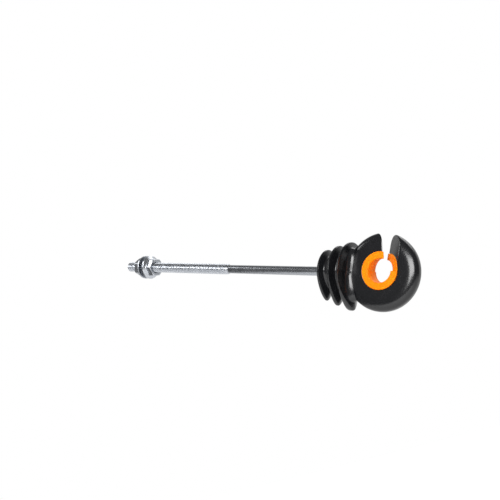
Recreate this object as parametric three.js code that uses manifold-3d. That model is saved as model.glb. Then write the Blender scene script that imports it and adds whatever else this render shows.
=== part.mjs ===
// Distance ring insulator for an electric fence.
// A moulded plastic head, three rain sheds and a slotted ring, sits on a steel rod. The rod's
// thread goes through a hole in a fence post, and two flange nuts clamp the post's wall.
// In mm: +X runs along the rod from the post to the ring, +Z is up, and the fence wire runs
// along Y through the ring's eye. The origin is on the rod's axis, in the outer nut's seat.
import * as THREE from 'three';
import { mergeVertices } from 'three/addons/utils/BufferGeometryUtils.js';
import Module from 'manifold-3d';

const wasm = await Module();
wasm.setup();

// Reach and grip
const reach = 159;                 // outer nut's seat to the middle of the eye
const wallGrip = 3;                // post wall between the two nuts
const rodTail = 18;                // rod behind the outer nut's seat

// Rod with a rolled thread
const threadDiameter = 5.96;
const threadRootDiameter = 4.8;
const threadPitch = 1;
const threadReach = 64.4;          // thread in front of the outer nut's seat
const threadChamfer = 0.7;
const threadRunOut = 1.2;
const shankDiameter = 4.7;
const anchorLength = 7;            // flattened end that the head is moulded round
const anchorHeight = 8;
const anchorThickness = 3.2;
const anchorSetback = 3.2;         // end of the anchor to the ring's near side

// Flange nuts
const nutSides = 6;
const nutAcrossFlats = 10;
const nutHeight = 6;
const nutFlangeDiameter = 14.2;
const nutFlangeEdge = 1.1;
const nutFlangeCone = 1.1;
const nutChamferHeight = 0.5;
const nutChamferDepth = 0.85;
const nutBoreChamfer = 0.6;
const outerNutTurn = 39;           // degrees from the vertical to a corner
const innerNutTurn = 12;

// Ring of the head, centred on the rod's axis
const eyeHeight = 0.6;             // middle of the eye above the rod's axis
const ringDiameter = 37.5;
const ringThickness = 7.9;
const ringRimDepth = 5.8;          // how far in from its edge the rim is rounded
const rimPower = 2.6;              // 2 is half an ellipse, and more is squarer
const hornRise = 0.5;              // how far the ring grows towards its ends beside the slot
const hornPower = 8;               // of the cosine from the top, by which the rise fades

// Slot that lets the wire into the eye, cut down through the ring at a slant
const slotWidth = 4;               // at its foot, level with the middle of the eye
const slotDraft = 4.2;             // degrees that each wall leans outwards
const slotSlant = 41.3;            // degrees from the ring's plane
const slotOffset = 0.85;           // middle of the slot past the middle of the eye

// Wear insert, a slotted bush that stands out of both faces of the ring
const insertDiameter = 18.3;
const insertProud = 0.7;
const insertRound = 0.4;
const eyeMouthDiameter = 11.4;
const eyeNeckDiameter = 10.6;
const eyeLipRound = 0.8;

// Neck and rain sheds. Each cross-section is half an ellipse above the rod's axis and tapers to
// a drip point below it.
const collarRadius = 4.6;
const collarRound = 0.5;
const collarLength = 0.8;
const neckLength = 15;             // collar's end to the ring's near side
const shedHalfWidth = 13.3;        // of the widest shed
const shedDrop = 19.3;             // rod's axis down to the deepest drip point
const shedRim = 1.45;              // thickest rim, at its side
const shedTipExtra = 2.7;          // how much thicker the last rim is at its drip point
const shedRound = 0.5;
const dripPower = 1.43;            // 2 is an ellipse, 1 is a straight-sided point

// Shares of the lengths above, from the post to the ring: setback of neckLength, side of
// shedHalfWidth, up and down of shedDrop, rim of shedRim and tip of shedTipExtra. lean carries
// a rim towards the ring as it gets taller.
const sheds = [
  { setback: 0.847, side: 0.722, up: 0.565, down: 0.777, rim: 1, tip: 0.11, lean: 0.14 },
  { setback: 0.41, side: 0.82, up: 0.671, down: 0.894, rim: 0.966, tip: 0.333, lean: 0.05 },
  { setback: -0.027, side: 1, up: 0.759, down: 1, rim: 0.966, tip: 1, lean: 0.11 },
];
const grooves = [
  { side: 0.519, up: 0.394, down: 0.497 },
  { side: 0.519, up: 0.477, down: 0.622 },
];
const root = { side: 0.295, up: 0.59, down: 0.725 };
const grooveShares = [0.25, 0.65]; // where a groove's floor starts and ends between two rims
const rootPower = 3.2;             // 2 is an ellipse, more is squarer
const rootFillet = 3;              // radius between the last flank and the ring's face
const rootFilletTall = 1;          // the same at the root's top and bottom
const rootFilletSteps = 4;
const rootRun = 1;                 // straight part after the fillet
const rootSlope = 0.05;            // run along X for each unit that the last flank comes in
const rootDepth = 9;               // how far the neck reaches into the ring

// Fits and facets
const mouldGap = 0.3;              // head to what it is moulded over
const boreClearance = 0.1;         // nut to the thread's crests
const overrun = 2;                 // how far a cutter passes what it cuts
const smallSteps = 24;
const ringSteps = 64;
const rimSteps = 7;
const outlineSteps = 44;
const threadSteps = 12;
const degrees = Math.PI / 180;

// Derived places
const ringRadius = ringDiameter / 2;
const ringStart = reach - ringRadius;
const anchorEnd = ringStart - anchorSetback;
const anchorStart = anchorEnd - anchorLength;
const collarStart = ringStart - neckLength;
const insertHalf = ringThickness / 2 + insertProud;
const cornerRadius = nutAcrossFlats / 2 / Math.cos(Math.PI / nutSides);

// A closed mesh becomes a solid once its shared vertices are merged and its empty faces are gone.
function solid(geometry) {
  geometry.deleteAttribute('normal');
  geometry.deleteAttribute('uv');
  const merged = mergeVertices(geometry);
  const corners = merged.index.array;
  const kept = [];
  for (let i = 0; i < corners.length; i += 3) {
    const [a, b, c] = corners.slice(i, i + 3);
    if (a !== b && b !== c && c !== a) kept.push(a, b, c);
  }
  const vertProperties = new Float32Array(merged.attributes.position.array);
  const triVerts = Uint32Array.from(kept);
  return new wasm.Manifold(new wasm.Mesh({ numProp: 3, vertProperties, triVerts }));
}

function geometryOf(shape) {
  const { vertProperties, triVerts } = shape.getMesh();
  const geometry = new THREE.BufferGeometry();
  geometry.setAttribute('position', new THREE.BufferAttribute(vertProperties, 3));
  geometry.setIndex(new THREE.BufferAttribute(triVerts, 1));
  geometry.computeVertexNormals();
  return geometry;
}

// A solid of revolution about the rod. Each point is a place along X and a radius.
function turnedOnRod(points, steps = smallSteps) {
  const profile = points.map(([place, radius]) => new THREE.Vector2(radius, place));
  return solid(new THREE.LatheGeometry(profile, steps).rotateZ(-Math.PI / 2));
}

// A solid of revolution about a line along Y, at the reach and this height. Each point is a
// radius and a place along Y.
function turnedAcross(height, points, reshape = geometry => geometry) {
  const profile = points.map(([radius, place]) => new THREE.Vector2(radius, place));
  const geometry = reshape(new THREE.LatheGeometry(profile, ringSteps));
  return solid(geometry.translate(reach, 0, height));
}

// A skin over rows of points round the rod's axis, closed at both ends by a fan to the axis.
// shift is how many rows the skin climbs in one turn: none for a shape, a pitch for a thread.
function wrap(rows, startPlace, endPlace, shift = 0) {
  const count = rows[0].length;
  const last = rows.length - 1;
  const points = [...rows.flat(), new THREE.Vector3(startPlace, 0, 0), new THREE.Vector3(endPlace, 0, 0)];
  const at = (row, column) => (column < count ? row * count + column : (row + shift) * count);
  const faces = [];
  for (let column = 0; column < count; column += 1) {
    const top = column < count - 1 ? last : last - shift;
    for (let row = 0; row < top; row += 1) {
      const [a, b] = [at(row, column), at(row, column + 1)];
      const [c, d] = [at(row + 1, column + 1), at(row + 1, column)];
      faces.push(a, b, c, a, c, d);
    }
  }
  const startLoop = [];
  const endLoop = [];
  for (let column = 0; column < count; column += 1) {
    startLoop.push(at(0, column));
    endLoop.push(at(last, count - 1 - column));
  }
  for (let row = 0; row < shift; row += 1) {
    startLoop.push(at(shift - row, 0));
    endLoop.push(at(last - shift + row, count - 1));
  }
  for (const [loop, apex] of [[startLoop, points.length - 2], [endLoop, points.length - 1]]) {
    loop.forEach((corner, i) => faces.push(apex, loop[(i + 1) % loop.length], corner));
  }
  const geometry = new THREE.BufferGeometry().setFromPoints(points);
  geometry.setIndex(faces);
  return solid(geometry);
}

// Rod: the thread is a helical ridge, trimmed by a turned envelope, on a plain shank.
function threadRows(start, end) {
  const rowsPerTurn = 2;
  const turns = Math.ceil((end - start) / threadPitch) + 3;
  const rows = [];
  for (let row = 0; row <= turns * rowsPerTurn; row += 1) {
    const radius = (row % rowsPerTurn ? threadDiameter : threadRootDiameter) / 2;
    const points = [];
    for (let column = 0; column < threadSteps; column += 1) {
      const climb = row / rowsPerTurn + column / threadSteps;
      const angle = column / threadSteps * 2 * Math.PI;
      const place = start + (climb - 2) * threadPitch;
      points.push(new THREE.Vector3(place, radius * Math.cos(angle), radius * Math.sin(angle)));
    }
    rows.push(points);
  }
  return { rows, rowsPerTurn };
}

function threadedRod() {
  const { rows, rowsPerTurn } = threadRows(-rodTail, threadReach);
  const ridge = wrap(rows, rows[0][0].x - threadPitch, rows.at(-1).at(-1).x + threadPitch, rowsPerTurn);
  const envelopeRadius = threadDiameter / 2 / Math.cos(Math.PI / smallSteps);
  const envelope = turnedOnRod([
    [-rodTail, 0],
    [-rodTail, envelopeRadius - threadChamfer],
    [-rodTail + threadChamfer, envelopeRadius],
    [threadReach - threadRunOut, envelopeRadius],
    [threadReach, threadRootDiameter / 2],
    [threadReach, 0],
  ]);
  const shank = turnedOnRod([
    [threadReach - threadRunOut, 0],
    [threadReach - threadRunOut, shankDiameter / 2],
    [anchorStart + anchorLength / 2, shankDiameter / 2],
    [anchorStart + anchorLength / 2, 0],
  ]);
  const anchor = new THREE.BoxGeometry(anchorLength, anchorThickness, anchorHeight);
  anchor.translate(anchorStart + anchorLength / 2, 0, 0);
  return ridge.intersect(envelope).add(shank).add(solid(anchor));
}

// Flange nut with its seat at X = 0 and its hexagon towards +X.
function flangeNut() {
  const bore = (threadDiameter / 2 + boreClearance) / Math.cos(Math.PI / smallSteps);
  const mouth = bore + nutBoreChamfer;
  const flangeRadius = nutFlangeDiameter / 2;
  const hexagon = new THREE.CylinderGeometry(cornerRadius, cornerRadius, nutHeight, nutSides);
  hexagon.rotateZ(-Math.PI / 2).translate(nutHeight / 2, 0, 0);
  const envelope = turnedOnRod([
    [0, 0],
    [0, flangeRadius],
    [nutHeight - nutChamferHeight, cornerRadius],
    [nutHeight, cornerRadius - nutChamferDepth],
    [nutHeight, 0],
  ]);
  const flange = turnedOnRod([
    [0, 0],
    [0, flangeRadius],
    [nutFlangeEdge, flangeRadius],
    [nutFlangeEdge + nutFlangeCone, nutAcrossFlats / 2],
    [nutFlangeEdge + nutFlangeCone, 0],
  ], 2 * smallSteps);
  const hole = turnedOnRod([
    [-overrun, 0],
    [-overrun, mouth + overrun],
    [nutBoreChamfer, bore],
    [nutHeight - nutBoreChamfer, bore],
    [nutHeight + overrun, mouth + overrun],
    [nutHeight + overrun, 0],
  ]);
  return solid(hexagon).intersect(envelope).add(flange).subtract(hole);
}

// Outline of one cross-section, round the rod's axis from +Y by +Z.
function outline({ side, up, down, powerUp = 2, powerDown = dripPower }) {
  const points = [];
  for (let step = 0; step < outlineSteps; step += 1) {
    const angle = step / outlineSteps * 2 * Math.PI;
    const [across, along] = [Math.cos(angle), Math.sin(angle)];
    const [height, power] = along >= 0 ? [up, powerUp] : [-down, powerDown];
    const y = side * Math.sign(across) * Math.abs(across) ** (2 / power);
    points.push([y, height * Math.abs(along) ** (2 / power)]);
  }
  return points;
}

function sizeOf({ side, up, down }) {
  return { side: side * shedHalfWidth, up: up * shedDrop, down: down * shedDrop };
}

function row(size, placeOf) {
  return outline(size).map(([y, z], step) => new THREE.Vector3(placeOf(Math.hypot(y, z), step), y, z));
}

// One rim's section: across is 0 at its post side and 1 at its ring side.
function rimRow(shed, across) {
  const { side, up, down } = sizeOf(shed);
  const inset = shedRound * (1 - Math.sin(Math.PI * across)) ** 2;
  return row({ side: side - inset, up: up - inset, down: down - inset }, radius => {
    const taller = radius - side;
    const width = shedRim * shed.rim + shedTipExtra * shed.tip * taller / (down - side);
    return ringStart - neckLength * shed.setback + shed.lean * taller + across * width;
  });
}

function neck() {
  const rows = [[collarRadius - collarRound, 0], [collarRadius, collarRound], [collarRadius, collarLength]]
    .map(([radius, place]) => row({ side: radius, up: radius, down: radius }, () => collarStart + place));
  sheds.forEach((shed, i) => {
    const across = [0, 0.25, 0.5, 0.75, 1];
    rows.push(...across.map(share => rimRow(shed, share)));
    if (i === sheds.length - 1) return;
    const before = rimRow(shed, 1);
    const after = rimRow(sheds[i + 1], 0);
    for (const share of grooveShares) {
      const place = (radius, step) => THREE.MathUtils.lerp(before[step].x, after[step].x, share);
      rows.push(row(sizeOf(grooves[i]), place));
    }
  });
  rows.push(...rootRows(rows.at(-1)));
  return wrap(rows, collarStart, ringStart + rootDepth);
}

// The last flank comes in from its rim and turns along the ring's face with a fillet.
function rootRows(rim) {
  const { side, up, down } = sizeOf(root);
  const rows = [];
  for (let step = 0; step <= rootFilletSteps + 1; step += 1) {
    const angle = Math.min(step / rootFilletSteps, 1) * Math.PI / 2;
    const run = step > rootFilletSteps ? rootRun : 0;
    const wider = rootFillet * (1 - Math.sin(angle));
    const taller = rootFilletTall * (1 - Math.sin(angle));
    const size = {
      side: side + wider,
      up: up + taller,
      down: down + taller,
      powerUp: rootPower,
      powerDown: rootPower,
    };
    rows.push(row(size, (radius, at) => {
      const inward = Math.hypot(rim[at].y, rim[at].z) - radius;
      return rim[at].x + rootSlope * inward + rootFillet * (1 - Math.cos(angle)) + run;
    }));
  }
  return rows;
}

function raiseHorns(geometry) {
  const places = geometry.attributes.position;
  for (let i = 0; i < places.count; i += 1) {
    const [x, z] = [places.getX(i), places.getZ(i)];
    const radius = Math.hypot(x, z);
    const share = (radius - ringRadius + ringRimDepth) / ringRimDepth;
    if (share <= 0 || z <= 0) continue;
    const scale = 1 + hornRise * share * (z / radius) ** hornPower / radius;
    places.setX(i, x * scale);
    places.setZ(i, z * scale);
  }
  return geometry;
}

function ring() {
  const farSide = [];
  for (let step = 0; step <= rimSteps; step += 1) {
    const angle = step / rimSteps * Math.PI / 2;
    const radius = ringRadius - ringRimDepth * (1 - Math.cos(angle) ** (2 / rimPower));
    farSide.push([radius, ringThickness / 2 * Math.sin(angle) ** (2 / rimPower)]);
  }
  farSide.push([0, ringThickness / 2]);
  const nearSide = farSide.slice(1).map(([radius, place]) => [radius, -place]).reverse();
  return turnedAcross(0, [...nearSide, ...farSide], raiseHorns);
}

// The slot's cutter stands on the level of the eye's middle and reaches above the ring.
function slot() {
  const height = ringRadius + overrun;
  const foot = slotWidth / 2;
  const top = foot + height * Math.tan(slotDraft * degrees);
  const corners = [[-foot, 0], [foot, 0], [top, height], [-top, height]];
  const section = new THREE.Shape(corners.map(([x, y]) => new THREE.Vector2(x, y)));
  const cutter = new THREE.ExtrudeGeometry(section, { depth: 2 * ringDiameter, bevelEnabled: false });
  cutter.translate(0, 0, -ringDiameter).rotateX(Math.PI / 2).rotateZ(Math.PI / 2 - slotSlant * degrees);
  cutter.translate(reach + slotOffset, 0, eyeHeight);
  return solid(cutter);
}

function insertSeat() {
  const radius = insertDiameter / 2 + mouldGap;
  const outside = insertHalf + overrun;
  return turnedAcross(eyeHeight, [[0, -outside], [radius, -outside], [radius, outside], [0, outside]]);
}

function rodSeat() {
  const hole = shankDiameter / 2 + mouldGap;
  const bore = turnedOnRod([
    [collarStart - overrun, 0],
    [collarStart - overrun, hole],
    [anchorEnd, hole],
    [anchorEnd, 0],
  ]);
  const gap = 2 * mouldGap;
  const pocket = new THREE.BoxGeometry(anchorLength + gap, anchorThickness + gap, anchorHeight + gap);
  pocket.translate(anchorStart + anchorLength / 2, 0, 0);
  return bore.add(solid(pocket));
}

function insulatorBody() {
  return neck().add(ring()).subtract(slot()).subtract(insertSeat()).subtract(rodSeat());
}

// The insert is a plain bush outside, and its bore flares to rounded mouths.
function wireGuideInsert() {
  const mouth = eyeMouthDiameter / 2;
  const neckRadius = eyeNeckDiameter / 2;
  const outer = insertDiameter / 2;
  const lipTurn = Math.PI / 4;
  const farSide = [
    [outer, insertHalf - insertRound],
    [outer - insertRound, insertHalf],
    [mouth + eyeLipRound, insertHalf],
    [mouth + eyeLipRound * (1 - Math.cos(lipTurn)), insertHalf - eyeLipRound * (1 - Math.sin(lipTurn))],
    [mouth, insertHalf - eyeLipRound],
    [neckRadius + (mouth - neckRadius) / 4, insertHalf / 2],
    [neckRadius, 0],
  ];
  const nearSide = farSide.slice(0, -1).map(([radius, place]) => [radius, -place]).reverse();
  return turnedAcross(eyeHeight, [[neckRadius, 0], ...nearSide, ...farSide]).subtract(slot());
}

// Materials
const blackPlastic = new THREE.MeshStandardMaterial({ color: 0x1b1c1f, roughness: 0.35, metalness: 0 });
const orangePlastic = new THREE.MeshStandardMaterial({ color: 0xff8c0a, roughness: 0.4, metalness: 0 });
const zincPlate = new THREE.MeshStandardMaterial({ color: 0xb4b9c0, roughness: 0.3, metalness: 0.9 });

function piece(name, shape, material) {
  const mesh = new THREE.Mesh(geometryOf(shape), material);
  mesh.name = name;
  return mesh;
}

// Assembly
const outerNut = piece('outer_flange_nut', flangeNut(), zincPlate);
outerNut.rotation.x = outerNutTurn * degrees;

const innerNut = piece('inner_flange_nut', flangeNut(), zincPlate.clone());
innerNut.position.x = -wallGrip;
innerNut.rotation.set(innerNutTurn * degrees, Math.PI, 0);

const insulator = new THREE.Group();
insulator.add(
  piece('insulator_body', insulatorBody(), blackPlastic),
  piece('wire_guide_insert', wireGuideInsert(), orangePlastic),
  piece('threaded_rod', threadedRod(), zincPlate.clone()),
  outerNut,
  innerNut,
);

export default insulator;
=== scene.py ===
"""Looks of a fence insulator, a slotted ring on a long rod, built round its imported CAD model."""

import bpy
import numpy as np
from mathutils import Matrix, Vector


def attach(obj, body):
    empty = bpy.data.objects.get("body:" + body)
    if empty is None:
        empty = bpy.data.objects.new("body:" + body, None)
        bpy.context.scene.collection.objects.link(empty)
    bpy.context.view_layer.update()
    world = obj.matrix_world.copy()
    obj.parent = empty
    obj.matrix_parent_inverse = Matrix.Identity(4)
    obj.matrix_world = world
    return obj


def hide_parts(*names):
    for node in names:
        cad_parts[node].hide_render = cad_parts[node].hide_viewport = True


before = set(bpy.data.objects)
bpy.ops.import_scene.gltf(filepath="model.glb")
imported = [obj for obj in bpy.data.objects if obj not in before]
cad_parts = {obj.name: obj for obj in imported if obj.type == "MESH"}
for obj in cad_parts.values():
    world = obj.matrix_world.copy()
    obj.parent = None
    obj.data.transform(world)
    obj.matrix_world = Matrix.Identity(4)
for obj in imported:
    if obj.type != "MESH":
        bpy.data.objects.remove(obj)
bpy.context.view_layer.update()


# Insulator head: black plastic, injection moulded round the rod's end and round the orange bush.
# Three rain sheds lean towards a ring with a rounded rim, and a slanting slot with drafted walls
# opens the ring upwards.
millimetre = 0.001
reach = 159.0
eye_height = 0.6
ring_radius = 18.75
ring_half_thickness = 3.95
ring_rim_depth = 5.8
rim_power = 2.6
rim_crowding = 0.6
horn_rise = 0.5
horn_power = 8
ring_start = reach - ring_radius
seat_radius = 9.17
seat_edge_round = 0.3
slot_half_width = 2.0
slot_offset = 0.85
slot_slant = np.radians(41.3)
slot_draft = np.tan(np.radians(4.2))
slot_edge_round = 0.5
neck_length = 15.0
collar_start = ring_start - neck_length
collar_radius = 4.6
collar_face_radius = 2.0
collar_round = 0.5
collar_length = 0.8
rim_round = 0.5
rim_shares = (0, 0.25, 0.5, 0.75, 1)
drip_power = 1.43
drip_round = 0.05
sheds = [
    dict(setback=12.7, side=9.6, up=10.9, down=15.0, edge=1.45, tip=0.3, lean=0.14),
    dict(setback=6.15, side=10.9, up=12.95, down=17.25, edge=1.4, tip=0.9, lean=0.05),
    dict(setback=-0.4, side=13.3, up=14.65, down=19.3, edge=1.4, tip=2.7, lean=0.11),
]
groove_sizes = [(6.9, 7.6, 9.6), (6.9, 9.2, 12.0)]
groove_shares = (0.25, 0.65)
root_size = np.array((3.93, 11.4, 14.0))
root_fillet = np.array((3.0, 1.0, 1.0))
root_power = 3.2
root_slope = 0.05
root_run = 1.0
root_depth = 8.5
root_end_height = -1.0
neck_columns = 256
spline_steps = 3
sweep_steps = 256
head_crease = np.radians(38)


def skin(rows, poles):
    """Rows of closed loops, joined by quads between neighbours; a fan closes each end at its pole."""
    count, width, _ = rows.shape
    index = np.arange(count * width).reshape(count, width)
    ahead = np.roll(index, -1, axis=1)
    quads = np.stack([index[:-1], ahead[:-1], ahead[1:], index[1:]], axis=-1).reshape(-1, 4)
    first, last = count * width, count * width + 1
    start = np.stack([ahead[0], index[0], np.full(width, first)], axis=-1)
    end = np.stack([index[-1], ahead[-1], np.full(width, last)], axis=-1)
    return np.vstack([rows.reshape(-1, 3), poles]), quads, np.vstack([start, end])


def make_piece(name, surface):
    """A mesh object in metres from vertices in mm, quads and triangles, with its faces outwards:
    where six times the volume, the sum of a . (b x c) over the triangles, is negative, they turn."""
    vertices, quads, triangles = surface
    split = np.vstack([triangles, quads[:, [0, 1, 2]], quads[:, [0, 2, 3]]])
    a, b, c = (vertices[split[:, corner]] for corner in range(3))
    if np.einsum("ij,ij->", a, np.cross(b, c)) < 0:
        quads, triangles = quads[:, ::-1], triangles[:, ::-1]
    mesh = bpy.data.meshes.new(name)
    mesh.from_pydata(vertices * millimetre, [], quads.tolist() + triangles.tolist())
    mesh.shade_smooth()
    piece = bpy.data.objects.new(name, mesh)
    bpy.context.collection.objects.link(piece)
    return piece


def inset(outline, depth):
    """The outline moved inwards by depth along its normals, which its neighbours' chord gives."""
    chord = np.roll(outline, -1, axis=0) - np.roll(outline, 1, axis=0)
    normal = np.stack([chord[:, 1], -chord[:, 0]], axis=1) / np.linalg.norm(chord, axis=1)[:, None]
    after = np.roll(outline, -1, axis=0)
    area = np.sum(outline[:, 0] * after[:, 1] - after[:, 0] * outline[:, 1])
    return outline - np.sign(area) * depth * normal


def slot_walls(radius, depth, back_off):
    """Angles round the eye, from its top towards +X, where the slot's two walls cut a circle of this
    radius at this depth along Y. A wall is a plane that leans by the draft: radius * (sin(slant) *
    sin(angle) -+ draft * cos(angle)) is its distance from the slot's middle. Below the middle of the
    eye the slot ends, so the angle stays within a quarter turn."""
    pull = np.hypot(np.sin(slot_slant), slot_draft)
    turn = np.arctan2(slot_draft, np.sin(slot_slant))
    middle = slot_offset * np.sin(slot_slant) - depth * np.cos(slot_slant)
    reach_right = (middle + slot_half_width + back_off) / (radius * pull)
    reach_left = (middle - slot_half_width - back_off) / (radius * pull)
    right = turn + np.arcsin(np.clip(reach_right, -1, 1))
    left = np.arcsin(np.clip(reach_left, -1, 1)) - turn
    quarter = np.pi / 2 + back_off / radius
    return np.minimum(right, quarter), np.maximum(left, -quarter)


def carry_round_eye(outline, edge_round, steps, cap_steps=14, round_steps=5):
    """Carries a closed outline of (radius, Y) round the eye, from the slot's right wall to its left
    wall. The ring is centred on the rod's axis, eye_height under the eye, so its rim moves in by
    eye_height * cos(angle), which fades to none at the seat, and out by horn_rise * cos(angle) **
    horn_power beside the slot. The edges at the walls are rounded: the outline is inset by edge_round *
    (1 - sin(a)) while the wall backs off by edge_round * (1 - cos(a)). The caps are the outline shrunk
    to its middle."""
    def shifted(radius, angle):
        hub = ring_radius - ring_rim_depth
        share = np.clip((radius - seat_radius) / (hub - seat_radius), 0, 1)
        rise = horn_rise * np.clip((radius - hub) / ring_rim_depth, 0, 1)
        raised = rise * np.maximum(np.cos(angle), 0) ** horn_power
        return radius - eye_height * np.cos(angle) * share + raised

    def place(section, angle):
        radius = shifted(section[..., 0], angle)
        along, height = reach + radius * np.sin(angle), eye_height + radius * np.cos(angle)
        return np.stack([along, section[..., 1], height], -1)

    def wall(section, back_off, side):
        radius, depth = section[..., 0], section[..., 1]
        angle = slot_walls(radius, depth, back_off)[side]
        for _ in range(2):
            angle = slot_walls(shifted(radius, angle), depth, back_off)[side]
        return angle

    middle = (outline.min(0) + outline.max(0)) / 2
    ends = []
    for side in (0, 1):
        flat = inset(outline, edge_round)
        shrink = (np.arange(1, cap_steps + 1) / cap_steps)[:, None, None]
        sections = middle + (flat - middle) * shrink
        cap = place(sections, wall(sections, 0.0, side))
        rounding = []
        for a in np.linspace(0, np.pi / 2, round_steps + 1)[1:-1]:
            section = inset(outline, edge_round * (1 - np.sin(a)))
            rounding.append(place(section, wall(section, edge_round * (1 - np.cos(a)), side)))
        ends.append((np.concatenate([cap, np.array(rounding)]), place(middle, wall(middle, 0.0, side))))
    right, left = wall(outline, edge_round, 0), wall(outline, edge_round, 1)
    angle = right + (left + 2 * np.pi - right) * np.linspace(0, 1, steps + 1)[:, None]
    body = place(np.broadcast_to(outline, (steps + 1, *outline.shape)), angle)
    rows = np.concatenate([ends[0][0], body, ends[1][0][::-1]])
    return skin(rows, np.array([ends[0][1], ends[1][1]]))


def shed_outline(size, turn):
    """Radius round the rod's axis: half an ellipse above it, and below it a superellipse whose power
    near 1 draws it down to a drip point, rounded by widening the cosine a little."""
    side, up, down = size
    across, along = np.cos(turn), np.sin(turn)
    above = 1 / np.sqrt((across / side) ** 2 + (along / up) ** 2)
    wide = np.sqrt(across ** 2 + (drip_round * along) ** 2) / side
    below = (wide ** drip_power + np.abs(along / down) ** drip_power) ** (-1 / drip_power)
    return np.where(along >= 0, above, below)


def spline_rows(rows, steps):
    """A uniform cubic B-spline down the rows, after each span is cut in three so that it keeps close
    to them: (1-t)^3/6, (3t^3-6t^2+4)/6, (-3t^3+3t^2+3t+1)/6 and t^3/6 weigh four rows in turn."""
    spans = np.arange(3)[:, None, None] / 3
    cut = rows[:-1, None] * (1 - spans) + rows[1:, None] * spans
    cut = np.concatenate([cut.reshape(-1, *rows.shape[1:]), rows[-1:]])
    padded = np.concatenate([2 * cut[:1] - cut[1:2], cut, 2 * cut[-1:] - cut[-2:-1]])
    t = (np.arange(steps) / steps)[:, None, None]
    weights = [(1 - t) ** 3 / 6, (3 * t ** 3 - 6 * t ** 2 + 4) / 6,
               (-3 * t ** 3 + 3 * t ** 2 + 3 * t + 1) / 6, t ** 3 / 6]
    count = len(cut) - 1
    fine = sum(weight * padded[i:i + count, None] for i, weight in enumerate(weights))
    return np.concatenate([fine.reshape(-1, *rows.shape[1:]), cut[-1:]])


def rim_row(shed, share, turn):
    """One loop (X, radius) of a shed's rim, from its nut side at 0 to its ring side at 1. The rim
    leans: its place along X grows with its radius over the shed's half width."""
    trim = rim_round * (1 - np.sin(np.pi * share)) ** 2
    radius = shed_outline((shed["side"] - trim, shed["up"] - trim, shed["down"] - trim), turn)
    taller = radius - shed["side"]
    width = shed["edge"] + shed["tip"] * taller / (shed["down"] - shed["side"])
    place = ring_start - shed["setback"] + shed["lean"] * taller + share * width
    return np.stack([place, radius], -1)


def neck_surface():
    """Loops of (X, radius) from the collar over three rims and two grooves to the root in the ring,
    smoothed by a B-spline and carried round the rod's axis. The root is a superellipse, and the last
    flank turns into it by a fillet, r (1 - sin a) wider and r (1 - cos a) along."""
    turn = np.arange(neck_columns) / neck_columns * 2 * np.pi
    rows = []
    for along, radius in ((0, collar_face_radius), (0, collar_radius - collar_round),
                          (collar_round, collar_radius), (collar_length, collar_radius)):
        place = np.full_like(turn, collar_start + along)
        rows.append(np.stack([place, np.full_like(turn, radius)], -1))
    for number, shed in enumerate(sheds):
        rows += [rim_row(shed, share, turn) for share in rim_shares]
        if number < len(sheds) - 1:
            before, after = rim_row(shed, 1, turn), rim_row(sheds[number + 1], 0, turn)
            for share in groove_shares:
                place = before[:, 0] + (after[:, 0] - before[:, 0]) * share
                rows.append(np.stack([place, shed_outline(groove_sizes[number], turn)], -1))
    rim = rows[-1]
    for angle in np.linspace(0, np.pi / 2, 6):
        side, up, down = root_size + root_fillet * (1 - np.sin(angle))
        tall = np.where(np.sin(turn) >= 0, up, down)
        across, along = np.abs(np.cos(turn) / side), np.abs(np.sin(turn) / tall)
        radius = (across ** root_power + along ** root_power) ** (-1 / root_power)
        place = rim[:, 0] + root_slope * (rim[:, 1] - radius) + root_fillet[0] * (1 - np.cos(angle))
        rows.append(np.stack([place, radius], -1))
    rows.append(rows[-1] + np.array([root_run, 0]))
    fine = spline_rows(np.array(rows), spline_steps)
    loops = np.stack([fine[..., 0], fine[..., 1] * np.cos(turn), fine[..., 1] * np.sin(turn)], -1)
    root_end = (ring_start + root_depth, 0, root_end_height)
    return skin(loops, np.array([(collar_start, 0, 0), root_end]))


def ring_outline():
    """The ring's section (radius, Y): half a superellipse, cos(t) ** (2 / rim_power) deep and
    sin(t) ** (2 / rim_power) thick, then flat faces, and rounded edges at the seat. The steps of t
    are smallest a third of the way and largest beside the flat faces."""
    turn = np.linspace(0, 1, 41)
    turn = np.pi / 2 * turn * (1 + rim_crowding * turn * (turn - 1))
    out = np.maximum(np.cos(turn), 0) ** (2 / rim_power)
    aside = np.sin(turn) ** (2 / rim_power)
    rim = np.stack([ring_radius - ring_rim_depth * (1 - out), ring_half_thickness * aside], -1)
    rim = np.concatenate([rim[:0:-1] * (1, -1), rim])
    inner = seat_radius + seat_edge_round
    face = np.linspace(rim[-1], (inner, ring_half_thickness), 9)[1:]
    turn = np.linspace(0, np.pi / 2, 6)[1:]
    edge = np.stack([inner - seat_edge_round * np.sin(turn),
                     ring_half_thickness - seat_edge_round * (1 - np.cos(turn))], -1)
    far = np.concatenate([face, edge])
    wall = np.linspace(edge[-1], edge[-1] * (1, -1), 9)[1:-1]
    return np.concatenate([rim, far, wall, far[::-1] * (1, -1)])


ring = make_piece("ring", carry_round_eye(ring_outline(), slot_edge_round, sweep_steps))
head = make_piece("head", neck_surface())
union = head.modifiers.new("Union", "BOOLEAN")
union.operation, union.solver, union.object = "UNION", "EXACT", ring
bpy.context.view_layer.objects.active = head
bpy.ops.object.modifier_apply(modifier=union.name)
bpy.data.objects.remove(ring)
head.data.shade_smooth()
head.data.set_sharp_from_angle(angle=head_crease)


def new_material(name):
    """A new material, its nodes, its links and its shader."""
    material = bpy.data.materials.new(name)
    material.use_nodes = True
    nodes, links = material.node_tree.nodes, material.node_tree.links
    return material, nodes, links, nodes["Principled BSDF"]


def add_node(nodes, kind, **values):
    """A node of this kind, with its properties and the inputs that these words name set."""
    node = nodes.new(kind)
    for key, value in values.items():
        if hasattr(node, key):
            setattr(node, key, value)
        else:
            node.inputs[key.replace("_", " ")].default_value = value
    return node


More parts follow.
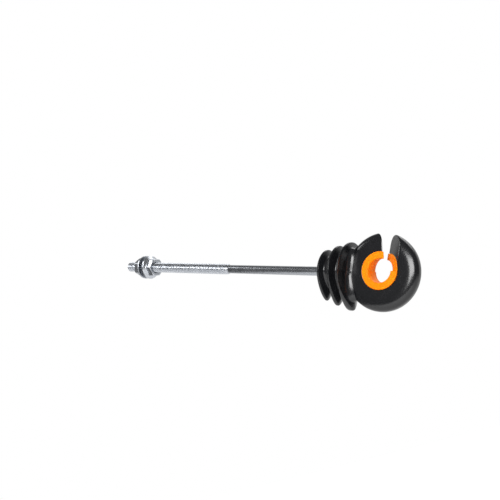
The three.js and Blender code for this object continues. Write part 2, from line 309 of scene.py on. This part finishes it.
def black_plastic():
    """Moulded black plastic: a soft grain, scuffs in patches, and a fine parting line at Y = 0."""
    material, nodes, links, shader = new_material("moulded_black_plastic")
    place = add_node(nodes, "ShaderNodeTexCoord").outputs["Object"]
    cloud = add_node(nodes, "ShaderNodeTexNoise", Scale=140.0, Detail=3.0)
    links.new(place, cloud.inputs["Vector"])
    tint = add_node(nodes, "ShaderNodeValToRGB")
    tint.color_ramp.elements[0].color = (0.0045, 0.0047, 0.0056, 1)
    tint.color_ramp.elements[1].color = (0.0085, 0.0088, 0.01, 1)
    links.new(cloud.outputs["Fac"], tint.inputs["Fac"])
    links.new(tint.outputs["Color"], shader.inputs["Base Color"])
    stretch = add_node(nodes, "ShaderNodeMapping")
    stretch.inputs["Rotation"].default_value = (0.3, 0.5, 0.4)
    stretch.inputs["Scale"].default_value = (3200, 420, 700)
    links.new(place, stretch.inputs["Vector"])
    scuff = add_node(nodes, "ShaderNodeTexNoise", Scale=1.0, Detail=2.0)
    links.new(stretch.outputs["Vector"], scuff.inputs["Vector"])
    patches = add_node(nodes, "ShaderNodeMapRange", From_Min=0.52, From_Max=0.7)
    links.new(cloud.outputs["Fac"], patches.inputs["Value"])
    marks = add_node(nodes, "ShaderNodeMapRange", From_Min=0.6, From_Max=0.72)
    links.new(scuff.outputs["Fac"], marks.inputs["Value"])
    both = add_node(nodes, "ShaderNodeMath", operation="MULTIPLY")
    links.new(patches.outputs["Result"], both.inputs[0])
    links.new(marks.outputs["Result"], both.inputs[1])
    rough = add_node(nodes, "ShaderNodeMapRange", To_Min=0.21, To_Max=0.4)
    links.new(both.outputs[0], rough.inputs["Value"])
    links.new(rough.outputs["Result"], shader.inputs["Roughness"])
    grain = add_node(nodes, "ShaderNodeTexNoise", Scale=1500.0, Detail=2.0)
    links.new(place, grain.inputs["Vector"])
    bump = add_node(nodes, "ShaderNodeBump", Strength=0.05, Distance=0.0002)
    links.new(grain.outputs["Fac"], bump.inputs["Height"])
    apart = add_node(nodes, "ShaderNodeSeparateXYZ")
    links.new(place, apart.inputs["Vector"])
    off = add_node(nodes, "ShaderNodeMath", operation="ABSOLUTE")
    links.new(apart.outputs["Y"], off.inputs[0])
    ridge = add_node(nodes, "ShaderNodeMapRange", From_Min=0.00012, From_Max=0.0)
    links.new(off.outputs[0], ridge.inputs["Value"])
    line = add_node(nodes, "ShaderNodeBump", Strength=0.35, Distance=0.00005)
    links.new(ridge.outputs["Result"], line.inputs["Height"])
    links.new(bump.outputs["Normal"], line.inputs["Normal"])
    links.new(line.outputs["Normal"], shader.inputs["Normal"])
    return material


head.data.materials.append(black_plastic())
head.name = "moulded_head"
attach(head, "insulator")
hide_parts("insulator_body")


# Wear bush: orange plastic, moulded first and held in the ring's eye. It stands out of both faces,
# its bore flares to rounded mouths, and the slot is cut down to the middle of the eye.
bush_radius = 9.15
bush_half_length = 4.65
bush_edge_round = 0.4
eye_mouth_radius = 5.7
eye_neck_radius = 5.3
eye_lip_round = 0.8
bush_slot_round = 0.3
bush_sweep_steps = 224
bush_crease = np.radians(50)


def bush_outline():
    """The bush's section (radius, Y): a straight outside, rounded lips, and a bore that narrows to
    its neck as the square of the distance from the mouth."""
    turn = np.linspace(0, np.pi / 2, 9)
    outer = np.stack([bush_radius - bush_edge_round * (1 - np.cos(turn)),
                      bush_half_length - bush_edge_round * (1 - np.sin(turn))], -1)
    lip = np.stack([eye_mouth_radius + eye_lip_round * (1 - np.sin(turn)),
                    bush_half_length - eye_lip_round * (1 - np.cos(turn))], -1)
    face = np.linspace(outer[-1], lip[0], 8)[1:-1]
    run = np.linspace(0, 1, 14)[1:]
    depth = (bush_half_length - eye_lip_round) * (1 - run)
    flare = (eye_mouth_radius - eye_neck_radius) * (1 - run) ** 2
    bore = np.stack([eye_neck_radius + flare, depth], -1)
    far = np.concatenate([outer, face, lip, bore])
    wall = np.stack([np.full(12, bush_radius), np.linspace(-1, 1, 14)[1:-1] * outer[0, 1]], -1)
    near = far[:-1][::-1] * (1, -1)
    return np.concatenate([far, near, wall])


bush_surface = carry_round_eye(bush_outline(), bush_slot_round, bush_sweep_steps, cap_steps=18)
bush = make_piece("wear_bush", bush_surface)
bush.data.set_sharp_from_angle(angle=bush_crease)


def orange_plastic():
    """Orange plastic that lets a little light in, with faint flow marks and rubbed, rougher spots."""
    material, nodes, links, shader = new_material("orange_bush_plastic")
    place = add_node(nodes, "ShaderNodeTexCoord").outputs["Object"]
    flow = add_node(nodes, "ShaderNodeTexNoise", Scale=170.0, Detail=4.0, Distortion=0.8)
    links.new(place, flow.inputs["Vector"])
    tint = add_node(nodes, "ShaderNodeValToRGB")
    tint.color_ramp.elements[0].color = (0.92, 0.2, 0.002, 1)
    tint.color_ramp.elements[1].color = (1.0, 0.265, 0.004, 1)
    links.new(flow.outputs["Fac"], tint.inputs["Fac"])
    links.new(tint.outputs["Color"], shader.inputs["Base Color"])
    rough = add_node(nodes, "ShaderNodeMapRange", To_Min=0.34, To_Max=0.5)
    links.new(flow.outputs["Fac"], rough.inputs["Value"])
    links.new(rough.outputs["Result"], shader.inputs["Roughness"])
    shader.inputs["Specular IOR Level"].default_value = 0.08
    shader.inputs["Subsurface Weight"].default_value = 0.25
    shader.inputs["Subsurface Radius"].default_value = (1.0, 0.35, 0.05)
    shader.inputs["Subsurface Scale"].default_value = 0.002
    grain = add_node(nodes, "ShaderNodeTexNoise", Scale=1200.0, Detail=2.0)
    links.new(place, grain.inputs["Vector"])
    bump = add_node(nodes, "ShaderNodeBump", Strength=0.06, Distance=0.0002)
    links.new(grain.outputs["Fac"], bump.inputs["Height"])
    links.new(bump.outputs["Normal"], shader.inputs["Normal"])
    return material


bush.data.materials.append(orange_plastic())
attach(bush, "insulator")
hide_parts("wire_guide_insert")


# Rod: drawn steel, zinc plated, with a rolled thread over rather more than half of its free
# length. Its far end is pressed flat, and the head is moulded round it.
rod_tail = 18.0
thread_reach = 64.4
thread_pitch = 1.0
crest_radius = 2.98
groove_radius = 2.4
crest_flat = 0.07
flank_run = 0.33
flank_ease = 0.35
end_chamfer = 0.7
run_out = 1.2
shank_radius = 2.35
anchor_end = ring_start - 3.2
anchor_start = anchor_end - 7.0
anchor_taper = 3
anchor_half_height = 3.9
anchor_half_width = 1.5
rod_columns = 64
rows_per_turn = 12
rod_crease = np.radians(60)


def thread_height(phase):
    """Share of the thread's depth at this part of a pitch: a flat crest and a flat root, joined by
    straight flanks whose corners are eased by a smooth step."""
    from_crest = np.abs((phase + 0.5) % 1 - 0.5)
    fall = np.clip((from_crest - crest_flat) / flank_run, 0, 1)
    return 1 - (flank_ease * fall ** 2 * (3 - 2 * fall) + (1 - flank_ease) * fall)


def rod_surface():
    """The thread's rows climb by one pitch a turn and are clipped at both ends, where a cone trims
    them; plain loops carry on as the shank, and the last loops change to a flattened end."""
    turn = np.arange(rod_columns) / rod_columns * 2 * np.pi
    step = thread_pitch / rows_per_turn
    climb = thread_pitch * turn / (2 * np.pi)
    start = np.arange(-rod_tail - thread_pitch, thread_reach + step, step)[:, None]
    place = np.clip(start + climb, -rod_tail, thread_reach)
    depth = thread_height((place - climb) / thread_pitch)
    radius = groove_radius + (crest_radius - groove_radius) * depth
    cone = crest_radius - end_chamfer + (place + rod_tail)
    left = np.clip((thread_reach - place) / run_out, 0, 1)
    fade = shank_radius + (crest_radius - shank_radius) * left
    radius = np.minimum(np.minimum(radius, cone), fade)
    thread = np.stack([place, radius * np.cos(turn), radius * np.sin(turn)], -1)
    taper_start = anchor_start - anchor_taper
    straight = np.linspace(thread_reach, taper_start, 90)[1:]
    taper = np.linspace(taper_start, anchor_start, 12)[1:]
    place = np.concatenate([straight, taper, [anchor_end]])[:, None]
    flat = np.clip((place - taper_start) / anchor_taper, 0, 1)
    flat = flat * flat * (3 - 2 * flat)
    half_height = shank_radius + (anchor_half_height - shank_radius) * flat
    half_width = shank_radius + (anchor_half_width - shank_radius) * flat
    shank = np.stack([np.broadcast_to(place, (len(place), rod_columns)),
                      half_width * np.cos(turn), half_height * np.sin(turn)], -1)
    rows = np.concatenate([thread, shank])
    return skin(rows, np.array([[-rod_tail, 0, 0], [anchor_end, 0, 0]]))


rod = make_piece("rolled_rod", rod_surface())
bpy.context.view_layer.objects.active = rod
weld = rod.modifiers.new("Weld", "WELD")
weld.merge_threshold = 1e-6
bpy.ops.object.modifier_apply(modifier=weld.name)
rod.data.set_sharp_from_angle(angle=rod_crease)


def zinc_plate(name, painted_shank_shade, along_rod):
    """Bright zinc plate: cloudy roughness with a blue-grey cast, and where the steel was drawn, fine
    lines along it. Beyond the thread the plate keeps only the share of its brightness that the second
    argument gives. This is a painted shade for the smooth shank, which mirrors the dim surroundings. 0
    gives no change there."""
    material, nodes, links, shader = new_material(name)
    place = add_node(nodes, "ShaderNodeTexCoord").outputs["Object"]
    cloud = add_node(nodes, "ShaderNodeTexNoise", Scale=260.0, Detail=4.0)
    links.new(place, cloud.inputs["Vector"])
    tint = add_node(nodes, "ShaderNodeValToRGB")
    tint.color_ramp.elements[0].color = (0.42, 0.44, 0.47, 1)
    tint.color_ramp.elements[1].color = (0.52, 0.54, 0.575, 1)
    links.new(cloud.outputs["Fac"], tint.inputs["Fac"])
    shader.inputs["Metallic"].default_value = 1.0
    rough = add_node(nodes, "ShaderNodeMapRange", To_Min=0.22, To_Max=0.32)
    links.new(cloud.outputs["Fac"], rough.inputs["Value"])
    links.new(rough.outputs["Result"], shader.inputs["Roughness"])
    colour = tint.outputs["Color"]
    # Painted shade: beyond the thread's end the plate's colour is darkened, standing in for the dim
    # surroundings that the smooth shank mirrors.
    if painted_shank_shade:
        apart = add_node(nodes, "ShaderNodeSeparateXYZ")
        links.new(place, apart.inputs["Vector"])
        near, far = (thread_reach - 0.9) * millimetre, (thread_reach + 0.1) * millimetre
        beyond = add_node(nodes, "ShaderNodeMapRange", From_Min=near, From_Max=far)
        links.new(apart.outputs["X"], beyond.inputs["Value"])
        shade = add_node(nodes, "ShaderNodeMix", data_type="RGBA", blend_type="MULTIPLY")
        links.new(beyond.outputs["Result"], shade.inputs[0])
        links.new(colour, shade.inputs[6])
        shade.inputs[7].default_value = (painted_shank_shade, painted_shank_shade, painted_shank_shade, 1)
        colour = shade.outputs[2]
    links.new(colour, shader.inputs["Base Color"])
    stretch = add_node(nodes, "ShaderNodeMapping")
    stretch.inputs["Scale"].default_value = (60, 6000, 6000) if along_rod else (2500, 2500, 2500)
    links.new(place, stretch.inputs["Vector"])
    lines = add_node(nodes, "ShaderNodeTexNoise", Scale=1.0, Detail=3.0)
    links.new(stretch.outputs["Vector"], lines.inputs["Vector"])
    bump = add_node(nodes, "ShaderNodeBump", Strength=0.06, Distance=0.00005)
    links.new(lines.outputs["Fac"], bump.inputs["Height"])
    links.new(bump.outputs["Normal"], shader.inputs["Normal"])
    return material


# The shank beyond the thread keeps 0.68 of the plate's brightness, a painted shade.
rod.data.materials.append(zinc_plate("zinc_plated_rod", painted_shank_shade=0.68, along_rod=True))
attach(rod, "insulator")
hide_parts("threaded_rod")


# Flange nuts: cold-formed steel, zinc plated, two with their seats facing each other. Each has a
# round flange with a sloping top, a hexagon with turned corners, and a threaded bore.
half_flats = 5.0
nut_height = 6.0
flange_radius = 7.1
flange_edge = 1.1
flange_cone = 1.1
flange_round = 0.3
cone_slope = 0.5
cone_start = flange_radius - 0.15
cone_end = half_flats - 0.1
cone_blend = 0.5
seat_round = 0.25
corner_radius = half_flats / np.cos(np.pi / 6)
corner_trim = 0.12
corner_blend = 0.16
chamfer_start = 0.62
chamfer_run = 0.58
chamfer_blend = 0.12
chamfer_depth = 0.85
top_edge_trim = 0.77
top_edge_round = 0.06
edge_support = 0.04
bore_radius = 3.08
bore_chamfer = 0.6
bore_groove = 0.34
nut_columns = 240
nut_crease = np.radians(45)


def soft_min(a, b, blend):
    """The smaller of two lengths, with the change from one to the other rounded over blend."""
    share = np.clip(0.5 + 0.5 * (b - a) / blend, 0, 1)
    return b + (a - b) * share - blend * share * (1 - share)


def nut_surface(seat, facing, turned):
    """Closed loops round the bore: up the bore's thread, out over the seat, round the flange, up the
    hexagon, whose radius is half_flats / cos(angle from a flat), trimmed by a cone, and back in."""
    turn = np.arange(nut_columns) / nut_columns * 2 * np.pi
    from_flat = (turn % (np.pi / 3)) - np.pi / 6
    hexagon = half_flats / np.cos(from_flat)
    hexagon = soft_min(hexagon, np.full_like(turn, corner_radius - corner_trim), corner_blend)
    loops = []

    def loop(place, radius):
        loops.append((np.full_like(turn, place), np.broadcast_to(radius, turn.shape)))

    for place in np.arange(nut_height - bore_chamfer, bore_chamfer - 0.01, -0.1):
        inside = bore_chamfer < place < nut_height - bore_chamfer
        wave = 0.5 - 0.5 * np.cos(2 * np.pi * place / thread_pitch - turn)
        loop(place, bore_radius + bore_groove * wave * inside)
    loop(bore_chamfer / 2, bore_radius + bore_chamfer / 2)
    loop(edge_support, bore_radius + bore_chamfer - edge_support / 2)
    loop(0, bore_radius + bore_chamfer + 2 * edge_support)
    for radius in np.linspace(bore_radius + 1, flange_radius - 0.3, 5):
        loop(0, radius)
    for a in np.linspace(0, np.pi / 2, 6):
        loop(seat_round * (1 - np.cos(a)), flange_radius - seat_round * (1 - np.sin(a)))
    loop(flange_edge / 2, flange_radius)
    for a in np.linspace(0, np.pi / 2 - cone_slope, 6):
        place = flange_edge - flange_round * (1 - np.sin(a))
        loop(place, flange_radius - flange_round * (1 - np.cos(a)))
    top = flange_edge + flange_cone
    for share in np.linspace(0.05, 1, 26):
        radius = cone_start + (cone_end - cone_start) * share
        loop(flange_edge + flange_cone * share, -soft_min(-radius, -hexagon, cone_blend))
    for place in np.linspace(top + 0.1, nut_height - 0.75, 12):
        loop(place, hexagon)
    for place in np.linspace(nut_height - 0.7, nut_height - edge_support, 12):
        share = (place - nut_height + chamfer_start) / chamfer_run
        cone = corner_radius + 0.1 - chamfer_depth * share
        loop(place, soft_min(hexagon, np.full_like(turn, cone), chamfer_blend))
    edge = soft_min(hexagon, np.full_like(turn, corner_radius - top_edge_trim), chamfer_blend)
    loop(nut_height, edge - top_edge_round)
    for share in np.linspace(0.15, 0.85, 5):
        loop(nut_height, edge * (1 - share) + (bore_radius + bore_chamfer + 0.05) * share)
    loop(nut_height - edge_support / 2, bore_radius + bore_chamfer)
    loop(nut_height - bore_chamfer / 2, bore_radius + bore_chamfer / 2)
    place, radius = (np.array(values) for values in zip(*loops))
    angle = turn * facing + turned
    rows = np.stack([seat + facing * place, radius * np.cos(angle), radius * np.sin(angle)], -1)
    count, width, _ = rows.shape
    index = np.arange(count * width).reshape(count, width)
    below, ahead = np.roll(index, -1, axis=0), np.roll(index, -1, axis=1)
    quads = np.stack([index, ahead, np.roll(below, -1, axis=1), below], -1).reshape(-1, 4)
    return rows.reshape(-1, 3), quads, np.zeros((0, 3), int)


for name, node, body, seat, facing, turned in (
    ("outer_nut_plated", "outer_flange_nut", "outer_nut", 0.0, 1, 9.0),
    ("inner_nut_plated", "inner_flange_nut", "inner_nut", -3.0, -1, 42.0),
):
    nut = make_piece(name, nut_surface(seat, facing, np.radians(turned)))
    nut.data.set_sharp_from_angle(angle=nut_crease)
    nut.data.materials.append(zinc_plate(name + "_zinc", painted_shank_shade=0, along_rod=False))
    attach(nut, body)
    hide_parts(node)


# Floor: white, under and behind the object. It brightens away from the object to the camera and to
# reflections, and it ends to the left of the nuts, so that the rod mirrors the dim world there.
floor_size = 8
floor_start = (-0.04, -0.4)
floor_height = -0.17
floor_middle = [start + floor_size / 2 for start in floor_start]
dimmest = (0.1, 0.08)
bpy.ops.mesh.primitive_plane_add(size=floor_size, location=(*floor_middle, floor_height))
floor = bpy.context.object
floor.name = "floor"
paper, paper_nodes, paper_links, paper_shader = new_material("white_paper")
paper_shader.inputs["Base Color"].default_value = (0.8, 0.8, 0.8, 1)
paper_shader.inputs["Roughness"].default_value = 0.9
paper_shader.inputs["Specular IOR Level"].default_value = 0.0
paper_shader.inputs["Emission Color"].default_value = (1, 1, 1, 1)
spot = add_node(paper_nodes, "ShaderNodeVectorMath", operation="DISTANCE")
paper_links.new(add_node(paper_nodes, "ShaderNodeTexCoord").outputs["Object"], spot.inputs[0])
spot.inputs[1].default_value = (dimmest[0] - floor_middle[0], dimmest[1] - floor_middle[1], 0)
away = add_node(paper_nodes, "ShaderNodeMapRange", From_Min=0.1, From_Max=0.9,
                To_Min=0.55, To_Max=0.9)
paper_links.new(spot.outputs["Value"], away.inputs["Value"])
seen = add_node(paper_nodes, "ShaderNodeLightPath")
glow = add_node(paper_nodes, "ShaderNodeMath", operation="MAXIMUM")
paper_links.new(seen.outputs["Is Camera Ray"], glow.inputs[0])
paper_links.new(seen.outputs["Is Glossy Ray"], glow.inputs[1])
lift = add_node(paper_nodes, "ShaderNodeMath", operation="MULTIPLY")
paper_links.new(glow.outputs[0], lift.inputs[0])
paper_links.new(away.outputs["Result"], lift.inputs[1])
paper_links.new(lift.outputs[0], paper_shader.inputs["Emission Strength"])
floor.data.materials.append(paper)

# Backdrop and fill: the world is white to the camera, white to reflections from behind the object,
# and a dim grey elsewhere.
forward = (-0.258, 0.962, -0.087)
fill = 0.2
world = bpy.data.worlds.new("studio")
bpy.context.scene.world = world
world.use_nodes = True
sky, joins = world.node_tree.nodes, world.node_tree.links
shine = sky["Background"]
direction = add_node(sky, "ShaderNodeTexCoord").outputs["Generated"]
facing_away = add_node(sky, "ShaderNodeVectorMath", operation="DOT_PRODUCT")
joins.new(direction, facing_away.inputs[0])
facing_away.inputs[1].default_value = forward
behind = add_node(sky, "ShaderNodeMapRange", From_Min=0.25, From_Max=0.65)
joins.new(facing_away.outputs["Value"], behind.inputs["Value"])
rays = add_node(sky, "ShaderNodeLightPath")
mirrored = add_node(sky, "ShaderNodeMath", operation="MAXIMUM")
joins.new(rays.outputs["Is Glossy Ray"], mirrored.inputs[0])
joins.new(rays.outputs["Is Transmission Ray"], mirrored.inputs[1])
backdrop = add_node(sky, "ShaderNodeMath", operation="MULTIPLY")
joins.new(mirrored.outputs[0], backdrop.inputs[0])
joins.new(behind.outputs["Result"], backdrop.inputs[1])
white = add_node(sky, "ShaderNodeMath", operation="MAXIMUM")
joins.new(rays.outputs["Is Camera Ray"], white.inputs[0])
joins.new(backdrop.outputs[0], white.inputs[1])
level = add_node(sky, "ShaderNodeMapRange", To_Min=fill, To_Max=1.0)
joins.new(white.outputs[0], level.inputs["Value"])
joins.new(level.outputs["Result"], shine.inputs["Strength"])
shine.inputs["Color"].default_value = (1, 1, 1, 1)

# Lamps: a soft box beside the camera, one above and behind the object, a strip on its left, and a
# small box with a narrow beam aimed at the nuts.
ring_middle, nut_middle = (0.155, 0.0, 0.0), (0.003, 0.0, 0.0)
for name, target, azimuth, elevation, roll, distance, width, height, power, spread in (
    ("camera_box", ring_middle, 14, 12, 16, 0.6, 0.44, 0.24, 4.5, 180),
    ("overhead_box", ring_middle, 168, 60, 0, 0.8, 0.7, 0.4, 2.4, 180),
    ("left_strip", ring_middle, -86, 4, 0, 0.6, 0.2, 0.32, 1.2, 180),
    ("nut_box", nut_middle, -60, 26, 0, 0.3, 0.2, 0.18, 0.02, 30),
):
    lamp_data = bpy.data.lights.new(name, "AREA")
    lamp_data.shape, lamp_data.size, lamp_data.size_y = "RECTANGLE", width, height
    lamp_data.energy = power
    lamp_data.spread = np.radians(spread)
    lamp = bpy.data.objects.new(name, lamp_data)
    bpy.context.collection.objects.link(lamp)
    a, e = np.radians(azimuth), np.radians(elevation)
    toward = Vector((np.sin(a) * np.cos(e), -np.cos(a) * np.cos(e), np.sin(e)))
    aim = toward.to_track_quat("Z", "Y").to_matrix() @ Matrix.Rotation(np.radians(roll), 3, "Z")
    lamp.location = Vector(target) + distance * toward
    lamp.rotation_euler = aim.to_euler()

# Camera: at the photograph's angle, with its frame's lens.
camera_data = bpy.data.cameras.new("camera")
camera_data.lens = 47.52
camera_data.sensor_width = 36
camera = bpy.data.objects.new("camera", camera_data)
bpy.context.collection.objects.link(camera)
right, up, back = (0.79, 0.6077, 0.08), (0.0, -0.1305, 0.9914), (0.613, -0.7832, -0.1031)
turn = Matrix((right, up, back)).transposed()
camera.matrix_world = Matrix.Translation((0.30153, -0.28595, -0.02675)) @ turn.to_4x4()
bpy.context.scene.camera = camera
bpy.context.scene.view_settings.view_transform = "Standard"
